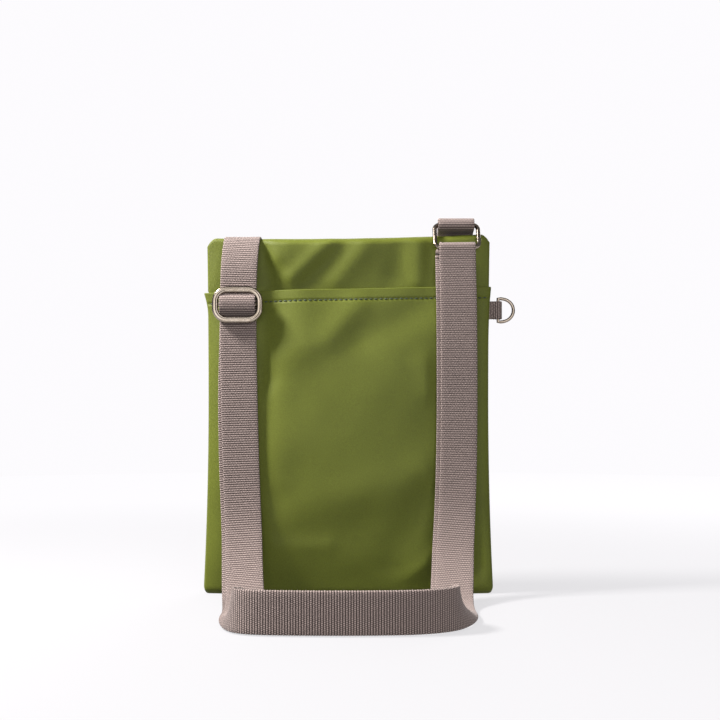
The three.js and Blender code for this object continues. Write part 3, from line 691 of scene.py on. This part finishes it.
def make_ring():
    """A ring that hangs from its upper bar, which is where its matrix puts the origin."""
    lean = Euler((-RING_LEAN, 0, 0)).to_matrix().to_4x4()
    lean.translation = RING_TOP
    path = rounded_path(0.030, RING_SPACING, 0.004)
    place = lean @ upright((0, 0, -RING_SPACING / 2))
    ring = wire_ring("strap_ring_wire", path, RING_WIRE, RING_WIRE, place)
    dress(ring, METAL, "ring", ("strap_ring",))


def make_ring_tab():
    # Rows of y, z: up the yoke and over the fold, round the ring's upper bar and back on itself.
    route = np.array([
        (0.0089, 0.212), (0.0088, 0.224), (0.0086, 0.236), (0.0079, 0.2440), (0.0056, 0.2490),
        (0.0018, 0.2508), (-0.0018, 0.2514), (-0.0044, 0.2526), (-0.0054, 0.2553), (-0.0034, 0.2583),
        (0.0012, 0.2587), (0.0070, 0.2548), (0.0103, 0.2460), (0.0107, 0.2360), (0.0108, 0.2240),
        (0.0109, 0.2120)])
    at = catmull(route, np.linspace(0, len(route) - 1, 200))
    line = np.stack([np.full(len(at), LANE), at[:, 0], at[:, 1]], axis=1)
    tab = webbing("ring_tab_webbing", line, (1, 0, 0))
    dress(tab, WEBBING, "bag", ("ring_tab",))


def make_side_ring():
    reach, half_height = 0.0106, 0.0081
    path = []
    for angle in np.linspace(-np.pi / 2, np.pi / 2, 33):
        bow = max(math.cos(angle), 0.0) ** 0.8
        path.append((reach * bow, half_height * math.sin(angle)))
    path += [(0, half_height * k) for k in (0.6, 0.2, -0.2, -0.6)]
    ring = wire_ring("side_d_ring_wire", path, D_RING_WIRE, D_RING_WIRE, upright(D_RING), 16)
    dress(ring, METAL, "side_ring", ("side_d_ring",))
    # Rows of x, y from the ring's straight side: out of the seam, round the wire and back.
    turn = 0.0021
    bend = np.radians(np.linspace(-72, 72, 9))
    route = [(-0.0066, -0.0009), (-0.0046, -0.0013), (-0.0030, -0.0016), (-0.0012, -turn)]
    route += [(turn * math.cos(a), turn * math.sin(a)) for a in bend]
    route += [(x, -y) for x, y in route[3::-1]]
    at = catmull(np.array(route), np.linspace(0, len(route) - 1, 90))
    line = np.stack([D_RING.x + at[:, 0], at[:, 1], np.full(len(at), D_RING.z)], axis=1)
    tab = webbing("side_tab_webbing", line, (0, 0, 1), width=0.0125, thickness=0.0012)
    dress(tab, WEBBING, "bag", ("side_ring_tab",))


# ---- bag body

def foot_round(z, reach):
    """0 above the foot, rising to nearly 1 at the floor on a quarter round."""
    t = np.clip(1 - z / reach, 0, 1)
    return 1 - np.sqrt(1 - 0.98 * t**2)


def half_width(z):
    below = np.maximum(WAIST_Z - z, 0) / WAIST_Z
    above = np.maximum(z - WAIST_Z, 0) / (HEIGHT - WAIST_Z)
    width = HALF_WIDTH + BOTTOM_FLARE * below**2 + TOP_FLARE * above**2
    return width - FOOT_INSET * foot_round(z, FOOT_REACH)


def depth(points, side, z, seam=SEAM_DEPTH):
    return seam + (profile(points, z) - seam) * (1 - np.abs(side) ** PUFF)


def edge_roll(side, start=0.984):
    """1 on the face, falling to 0 at the side seam on a quarter round."""
    t = np.clip((np.abs(side) - start) / (1 - start), 0, 1)
    return np.sqrt(np.maximum(1 - t**2, 0.0))


def grid_row(side, x, y, z):
    """One row of a panel's points, closed towards the side seams."""
    return np.stack([x, y * edge_roll(side), z], axis=2)[0]


def off_seam(side, start=0.93):
    """1 on the face, falling smoothly to 0 at the side seams."""
    return smoothstep(1.0, start, np.abs(side))


def sides(columns):
    """Columns from side seam to side seam, closer together towards the seams."""
    t = np.linspace(-1, 1, columns)
    return np.sign(t) * (1 - (1 - np.abs(t)) ** 1.7)


def folds(x, z, ridges):
    """Height of soft ridges and valleys; each is x, z of its two ends, its reach and its height."""
    total = np.zeros_like(x)
    for x0, z0, x1, z1, reach, height in ridges:
        dx, dz = x1 - x0, z1 - z0
        t = np.clip(((x - x0) * dx + (z - z0) * dz) / (dx * dx + dz * dz), 0, 1)
        distance = np.hypot(x - x0 - t * dx, z - z0 - t * dz)
        total += height * np.exp(-(distance / reach) ** 2)
    return total


def ripples(x, z, size, height, seed):
    """Gentle unevenness of cloth: a few waves in different directions."""
    source = np.random.default_rng(seed)
    total = np.zeros_like(x)
    for _ in range(9):
        angle = source.uniform(0, np.pi)
        wave = 2 * np.pi / (size * source.uniform(0.6, 1.6))
        total += np.sin(wave * (x * math.cos(angle) + z * math.sin(angle)) + source.uniform(0, 6.3))
    return total * height / 3


POCKET_CROWN = 0.0042       # how far the slip pocket bulges between the strap's two legs
CROWN_HALF = 0.062
HEM_GROOVE = 0.0005
HEM_GROOVE_REACH = 0.0010
TOP_PUFF = 0.003            # how far the top band is stuffed out between them
TOP_PUFF_Z = (0.206, 0.240)
TOP_PUFF_X = (0.058, 0.040)
TUCK = 0.012                # part of its width that the near panel lacks behind the slip pocket
TUCK_Z = (0.205, 0.2105)    # heights over which that ends, at the pocket's mouth
BAND_FOLDS_Z = (0.18, 0.215)  # heights over which the top band's folds begin
# Folds: x, z of the two ends, reach and height. A negative height is a valley.
TOP_BAND_FOLDS = [
    (-0.058, 0.238, -0.055, 0.214, 0.008, -0.0020),
    (-0.054, 0.243, -0.050, 0.232, 0.006, 0.0016),
    (-0.012, 0.243, -0.038, 0.218, 0.006, 0.0018),
    (-0.002, 0.238, -0.028, 0.214, 0.008, -0.0011),
    (0.012, 0.240, -0.008, 0.216, 0.008, 0.0014),
    (0.036, 0.238, 0.032, 0.220, 0.008, -0.0014),
    (0.050, 0.240, 0.048, 0.216, 0.006, 0.0014),
]
POCKET_FOLDS = [
    (-0.057, 0.192, -0.058, 0.150, 0.010, -0.0022),
    (-0.034, 0.206, -0.030, 0.172, 0.014, 0.0024),
    (0.006, 0.198, -0.012, 0.176, 0.009, 0.0016),
    (0.056, 0.200, 0.010, 0.176, 0.012, -0.0018),
    (0.089, 0.200, 0.089, 0.010, 0.008, -0.0024),
    (-0.045, 0.158, -0.048, 0.080, 0.012, 0.0014),
    (0.052, 0.158, 0.056, 0.140, 0.008, 0.0010),
    (-0.056, 0.052, 0.050, 0.082, 0.016, 0.0016),
    (0.030, 0.020, 0.052, 0.070, 0.012, -0.0014),
    (0.036, 0.004, 0.058, 0.026, 0.006, 0.0012),
    (-0.050, 0.033, -0.014, 0.034, 0.006, 0.0006),
]
FAR_FOLDS = [
    (-0.070, 0.180, -0.030, 0.150, 0.012, 0.0012),
    (0.020, 0.170, 0.075, 0.120, 0.014, -0.0012),
    (-0.060, 0.040, 0.020, 0.075, 0.016, 0.0013),
]


def top_puff(x, z):
    return TOP_PUFF * smoothstep(*TOP_PUFF_Z, z) * smoothstep(*TOP_PUFF_X, np.abs(x))


def near_rows(side, inset, foot, yoke_end, counts, worked):
    """Rows of points up the near face, over the top fold and down the yoke. Worked cloth has folds
    and ripples; the lining has none."""
    top = HEIGHT - inset + TOP_TILT * side + TOP_DIP * side**2
    corner = np.maximum(np.abs(side) - CORNER_START, 0) / (1 - CORNER_START)
    top = top - CORNER_DROP * corner**2
    radius = depth(NEAR_FACE, side, HEIGHT) - inset
    fold_z = top - radius

    def swell(x, z):
        if not worked:
            return np.zeros_like(x)
        total = folds(x, z, TOP_BAND_FOLDS) + ripples(x, z, 0.05, 0.00025, 3)
        return total * off_seam(side)

    rows = []
    for v in np.linspace(0, 1, counts[0], endpoint=False):
        z = foot + (fold_z - foot) * v
        face = depth(NEAR_FACE, side, z) - inset
        y = -(face + (radius - face) * smoothstep(0, 1, v))
        tuck = 1 - TUCK * (1 - smoothstep(*TUCK_Z, z)) * worked
        x = side * half_width(z) * tuck
        lifted = top_puff(x, z) * worked + swell(x, z) * smoothstep(*BAND_FOLDS_Z, z)
        rows.append(grid_row(side, x, y - lifted, z))
    for angle in np.linspace(0, np.pi, counts[1], endpoint=False):
        z = fold_z + radius * math.sin(angle)
        x = side * half_width(z)
        puff = top_puff(x, fold_z) * worked * max(math.cos(angle), 0)
        y = -radius * math.cos(angle) - swell(x, z) * math.cos(angle / 2) ** 2 - puff
        rows.append(grid_row(side, x, y, z))
    for part in np.linspace(0, 1, counts[2]):
        z = fold_z + (yoke_end - fold_z) * part
        face = depth(FAR_FACE, side, z) - inset
        y = radius + (face - radius) * min(part * 2.5, 1)
        x = side * half_width(z)
        lifted = ripples(x, z, 0.045, 0.00025, 8) * smoothstep(0, 0.3, part) * worked * off_seam(side)
        rows.append(grid_row(side, x, y + lifted, z))
    return np.array(rows)


def far_rows(side, inset, base_near, top_z, counts, worked):
    """Rows of points along the base strip, round the bottom edge and up the zip face."""
    far = depth(FAR_FACE, side, 0.004) - inset
    radius = np.minimum(0.003, far * 0.6)
    foot = inset + 0.0001
    rows = []
    for v in np.linspace(0, 1, counts[0], endpoint=False):
        y = -base_near + (base_near + far - radius) * v
        x = side * half_width(np.zeros_like(side))
        rows.append(grid_row(side, x, y, np.full_like(x, foot)))
    for angle in np.linspace(0, np.pi / 2, counts[1], endpoint=False):
        z = foot + radius * (1 - math.cos(angle))
        x = side * half_width(z)
        y = far - radius + radius * math.sin(angle)
        rows.append(grid_row(side, x, y, z))
    for part in np.linspace(0, 1, counts[2]):
        z = foot + radius + (top_z - foot - radius) * part
        face = depth(FAR_FACE, side, z) - inset
        y = far + (face - far) * min(part * 8, 1)
        x = side * half_width(z)
        lifted = ripples(x, z, 0.07, 0.0008, 12) + ripples(x, z, 0.03, 0.00012, 5) + folds(x, z, FAR_FOLDS)
        lifted = lifted * off_seam(side, 0.9) * smoothstep(0, 0.1, part) * smoothstep(1, 0.93, part) * worked
        rows.append(grid_row(side, x, y + lifted, z))
    return np.array(rows)


def make_panels():
    side = sides(151)[None, :]
    near = near_rows(side, 0.0, 0.0012, ZIP_Z + ZIP_SLOT, (120, 28, 26), True)
    dress(sheet("near_panel_cloth", near, FABRIC), NYLON, "bag", ("back_panel",))
    base_near = np.maximum(depth(NEAR_FACE, side, 0.0), 0.0006)
    far = far_rows(side[:, ::-1], 0.0, base_near, ZIP_Z - ZIP_SLOT, (10, 12, 130), True)
    dress(sheet("zip_face_cloth", far, FABRIC), NYLON, "bag", ("front_panel",))


def make_lining():
    side = np.linspace(-LINING_REACH, LINING_REACH, 61)[None, :]
    near = near_rows(side, LINING_INSET, LINING_INSET + 0.001, 0.213, (60, 16, 12), False)
    dress(sheet("lining_near", near, LINING), LINING_CLOTH, "bag", ("lining_pocket_side",))
    base_near = np.maximum(depth(NEAR_FACE, side, 0.0) - 0.0015 - LINING_INSET / 2, 0.00002)
    far = far_rows(side[:, ::-1], LINING_INSET, base_near, 0.187, (8, 8, 60), False)
    dress(sheet("lining_far", far, LINING), LINING_CLOTH, "bag", ("lining_zip_side",))


def pocket_point(side, z, mouth):
    """The slip pocket's face at a part of the half width and a height."""
    below_mouth = mouth - z
    left = POKE_LEFT * np.maximum(1 - below_mouth / POKE_LEFT_REACH, 0) ** 2
    right = POKE_RIGHT * np.maximum(1 - below_mouth / POKE_RIGHT_REACH, 0) ** 2
    x = side * (half_width(z) + np.where(side < 0, left, right))
    y = depth(POCKET_FACE, side, z, POCKET_SEAM)
    crown = POCKET_CROWN * np.maximum(1 - (x / CROWN_HALF) ** 2, 0) ** 1.3 * smoothstep(0.0, 0.13, z)
    y = y + crown * (1 - 0.8 * smoothstep(0.165, 0.215, z))
    swell = folds(x, z, POCKET_FOLDS) + ripples(x, z, 0.09, 0.0005, 21) + ripples(x, z, 0.035, 0.00012, 4)
    # Under the strap's legs the cloth may sink, but hardly rise.
    clear = 1 - smoothstep(0.052, 0.062, np.abs(x))
    swell = np.where(swell > 0, swell * (0.15 + 0.85 * clear), swell)
    swell = swell * off_seam(side, 0.9) * smoothstep(0.004, 0.02, z)
    hem = HEM_GROOVE * np.exp(-((below_mouth - HEM) / HEM_GROOVE_REACH) ** 2)
    y = y + swell - hem - 0.004 * foot_round(z, 0.004)
    # The mouth's edge stays off the panel at the sides, where the rest closes into the seam.
    roll = edge_roll(side)
    shut = roll + (1 - roll) * 0.55 * smoothstep(0.012, 0.0, below_mouth)
    return np.stack([x, -np.maximum(y * shut, 0.0003), z], axis=-1)


def make_pocket():
    side = sides(171)[None, :]
    mouth = MOUTH_Z + MOUTH_SLANT * side * HALF_WIDTH
    foot, hem_share = 0.0006, 0.92
    # Closer rows in the hem, for its groove.
    spacing = np.concatenate([np.linspace(0, hem_share, 120, endpoint=False), np.linspace(hem_share, 1, 60)])
    rows = [pocket_point(side, foot + (mouth - foot) * v, mouth)[0] for v in spacing]
    panel = sheet("pocket_cloth", np.array(rows), POCKET_FABRIC)
    dress(panel, NYLON, "bag", ("pocket_panel",))
    line_side = np.linspace(-0.975, 0.975, 160)
    line_mouth = MOUTH_Z + MOUTH_SLANT * line_side * HALF_WIDTH
    line = pocket_point(line_side, line_mouth - HEM, line_mouth)
    thread = stitches("hem_stitches", line, (0, -1, 0), radius=0.00042, sink=0.8)
    dress(thread, GREEN_THREAD, "bag")


# ---- zip

def gape(x):
    """Half height of the open mouth of the zip at x."""
    part = np.minimum(np.abs(x) / ZIP_OPEN_HALF, 1)
    return ZIP_SHUT + (ZIP_GAPE - ZIP_SHUT) * (1 - part**4)


def zip_tape(name, sign):
    """A tape from the coil's outer edge to behind the panel."""
    x = np.linspace(1, -1, 141)[None, :] * (ZIP_HALF_LENGTH + 0.003)
    rows = []
    for part in np.linspace(0, 1, 16)[::sign]:
        rise = (gape(x) + 0.0012) * (1 - part) + TAPE_REACH * part
        z = ZIP_Z + sign * rise
        y = depth(FAR_FACE, x / half_width(z), z) - TAPE_INSET
        rows.append(np.stack([x, y, z], axis=2)[0])
    return sheet(name, np.array(rows), TAPE_THICK)


def zip_coil(name, sign, wire=0.00031, turn_points=14):
    """One side's coil: a flattened helix of monofilament along the tape's edge."""
    turns = round(2 * ZIP_HALF_LENGTH / COIL_PITCH)
    angle = np.linspace(0, 2 * np.pi * turns, turns * turn_points + 1)
    x = ZIP_HALF_LENGTH - angle / (2 * np.pi) * COIL_PITCH
    middle = ZIP_Z + sign * (gape(x) + COIL_HEIGHT / 2)
    face = depth(FAR_FACE, x / half_width(ZIP_Z), ZIP_Z) - COIL_INSET - COIL_THICK / 2
    around = np.stack([np.zeros_like(x), np.sin(angle), np.cos(angle)], axis=1)
    centre = np.stack([x, face, middle], axis=1)
    centre += around * np.array([0, COIL_THICK / 2 - wire, COIL_HEIGHT / 2 - wire])
    along = unit(np.gradient(centre, axis=0))
    across = unit(np.cross(along, around))
    corner = np.linspace(0, 2 * np.pi, 6, endpoint=False)
    section = np.stack([np.cos(corner), np.sin(corner)], axis=1) * wire
    return swept(name, centre, across, np.cross(across, along), np.tile(section, (len(x), 1, 1)))


def far_seam(name, z, reach):
    """A row of stitches along the zip face at one height."""
    x = np.linspace(-reach, reach, 120)
    y = depth(FAR_FACE, x / half_width(z), z) + 0.0002
    line = np.stack([x, y, np.full_like(x, z)], axis=1)
    thread = stitches(name, line, (0, 1, 0), pitch=0.003, length=0.0023)
    dress(thread, GREEN_THREAD, "bag")


def make_zip():
    for name, sign in (("upper", 1), ("lower", -1)):
        dress(zip_tape(f"zip_tape_{name}_cloth", sign), TAPE, "bag", (f"zip_tape_{name}",))
        dress(zip_coil(f"zip_coil_{name}", sign), COIL, "bag", (f"zip_teeth_{name}",))
        far_seam(f"zip_seam_{name}", ZIP_Z + sign * (ZIP_SLOT + SEAM_OFFSET), 0.088)
    for node in ("zip_bottom_stop", "zip_top_stop_upper", "zip_top_stop_lower", "zip_slider_body",
                 "zip_pull_link", "zip_pull_tab"):
        carry_over(node)


# ---- stitched tacks

def box_tack(name, x, z0, z1, y0, slope, half=0.009):
    """A stitched box with a cross on webbing that leans: its face is at y0 at z0."""
    box = [(-half, z0), (half, z0), (half, z1), (-half, z1)]
    corners = box + [box[0], box[2], box[1], box[3]]
    points = []
    for (xa, za), (xb, zb) in zip(corners, corners[1:]):
        part = np.linspace(0, 1, 20, endpoint=False)[:, None]
        points.append(np.array([[xa, za]]) * (1 - part) + np.array([[xb, zb]]) * part)
    flat = np.concatenate(points)
    line = np.stack([x + flat[:, 0], y0 + slope * (flat[:, 1] - z0), flat[:, 1]], axis=1)
    thread = stitches(name, line, (0, 1, 0), pitch=0.0026, length=0.0021)
    dress(thread, TAUPE_THREAD, "bag")


def make_tacks():
    box_tack("strap_end_tack", STRAP_END_X, TACK_FOOT, TACK_TOP, 0.00965, -0.064)
    box_tack("ring_tab_tack", LANE, TACK_FOOT, TACK_TOP, 0.01165, -0.06)


# ---- camera, floor and light

CAMERA_SPOT = (0.008, -0.730, 0.122)
PICTURE_SHIFT = 0.0791666667  # part of the picture's width that the view is moved up
BOUNCE_DROP = 0.0006
FLOOR_EDGE = 1.6
WHITE = rgb(0.98, 0.967, 0.99)


def make_camera():
    lens = bpy.data.cameras.new("camera")
    lens.sensor_width = 36
    lens.lens = 52.6
    lens.shift_y = PICTURE_SHIFT
    lens.clip_start = 0.01
    camera = bpy.data.objects.new("camera", lens)
    camera.location = CAMERA_SPOT
    camera.rotation_euler = (math.pi / 2, 0, 0)
    bpy.context.scene.collection.objects.link(camera)
    bpy.context.scene.camera = camera


def disc(name, rings, filled=True, turns=96):
    """A round surface through rings of (radius, height), with or without its middle."""
    vertices = [(radius * math.cos(angle), radius * math.sin(angle), z) for radius, z in rings
                for angle in np.linspace(0, 2 * np.pi, turns, endpoint=False)]
    faces = grid_faces(len(rings), turns, wrap_columns=True)[:, ::-1].tolist()
    if filled:
        faces.append(list(range(turns)))
    made = mesh_object(name, vertices, faces)
    return made


def hide_from(piece, *rays):
    for ray in rays:
        setattr(piece, f"visible_{ray}", False)


def make_floor():
    """A pale paper floor that turns into an evenly lit backdrop far from the purse."""
    floor = disc("floor", [(FLOOR_EDGE * (k / 12), 0) for k in range(1, 13)])
    paper = Surface("studio_paper", Roughness=0.9, Specular_IOR_Level=0.1)
    distance = paper.tree.nodes.new("ShaderNodeVectorMath")
    distance.operation = "LENGTH"
    paper.tree.links.new(paper.place(), distance.inputs[0])
    share = paper.node("MapRange", {0: distance.outputs["Value"], 1: 0.0, 2: 0.9, 3: 0.0, 4: 1.0},
                       interpolation_type="SMOOTHSTEP")
    near = paper.mix(share, rgb(0.135, 0.133, 0.137), rgb(0, 0, 0))
    paper.shader.inputs["Emission Color"].default_value = WHITE
    floor.data.materials.append(paper.feed(
        Base_Color=near, Emission_Strength=paper.remap(share, 0.0, 1.0, 0.68, 1.0)))
    hide_from(floor, "diffuse")

    # This grey disc stands in for the floor where light bounces from it on to the purse.
    bounce = disc("floor_bounce", [(FLOOR_EDGE * k / 4, 0) for k in range(1, 5)])
    bounce.location.z = -BOUNCE_DROP
    grey = Surface("floor_bounce_grey", Base_Color=rgb(0.3, 0.3, 0.3), Roughness=1.0)
    bounce.data.materials.append(grey.material)
    hide_from(bounce, "camera", "glossy", "shadow")

    rings = [(FLOOR_EDGE, 0), (2.2, 0.0), (2.8, 0.25), (3.1, 0.8), (3.2, 2.2), (3.2, 3.4)]
    backdrop = disc("backdrop", rings, filled=False)
    glow = Surface("studio_backdrop", Base_Color=rgb(0, 0, 0), Roughness=1.0, Specular_IOR_Level=0.0,
                   Emission_Color=WHITE, Emission_Strength=1.0)
    backdrop.data.materials.append(glow.material)
    hide_from(backdrop, "diffuse", "glossy", "shadow")


def add_lamp(name, spot, aim, size, power, tint=(1.0, 1.0, 1.0)):
    lamp = bpy.data.lights.new(name, "AREA")
    lamp.shape = "RECTANGLE"
    lamp.size, lamp.size_y = size
    lamp.energy = power
    lamp.color = tint
    holder = bpy.data.objects.new(name, lamp)
    holder.location = spot
    holder.rotation_euler = (Vector(aim) - Vector(spot)).to_track_quat("-Z", "Y").to_euler()
    holder.visible_camera = False
    bpy.context.scene.collection.objects.link(holder)


def make_light():
    """A small key from the upper left, a wide fill from the front and a wide back light."""
    add_lamp("key", (-0.66, -0.19, 0.82), (0, 0, 0.12), (0.2, 0.2), 23.5, (1.0, 0.985, 0.96))
    add_lamp("fill", (0.14, -1.2, 0.36), (0, 0, 0.06), (0.9, 0.9), 7.4)
    add_lamp("back", (0.5, 1.3, 0.8), (0, 0, 0.12), (1.0, 1.0), 9.0)
    world = bpy.data.worlds.new("studio")
    world.use_nodes = True
    background = world.node_tree.nodes["Background"]
    background.inputs["Color"].default_value = rgb(0.98, 0.98, 1.0)
    background.inputs["Strength"].default_value = 0.22
    bpy.context.scene.world = world


make_camera()
make_floor()
make_light()
make_strap()
make_adjuster()
make_ring()
make_ring_tab()
make_side_ring()
make_panels()
make_lining()
make_pocket()
make_zip()
make_tacks()

bpy.context.scene.view_settings.view_transform = "Standard"
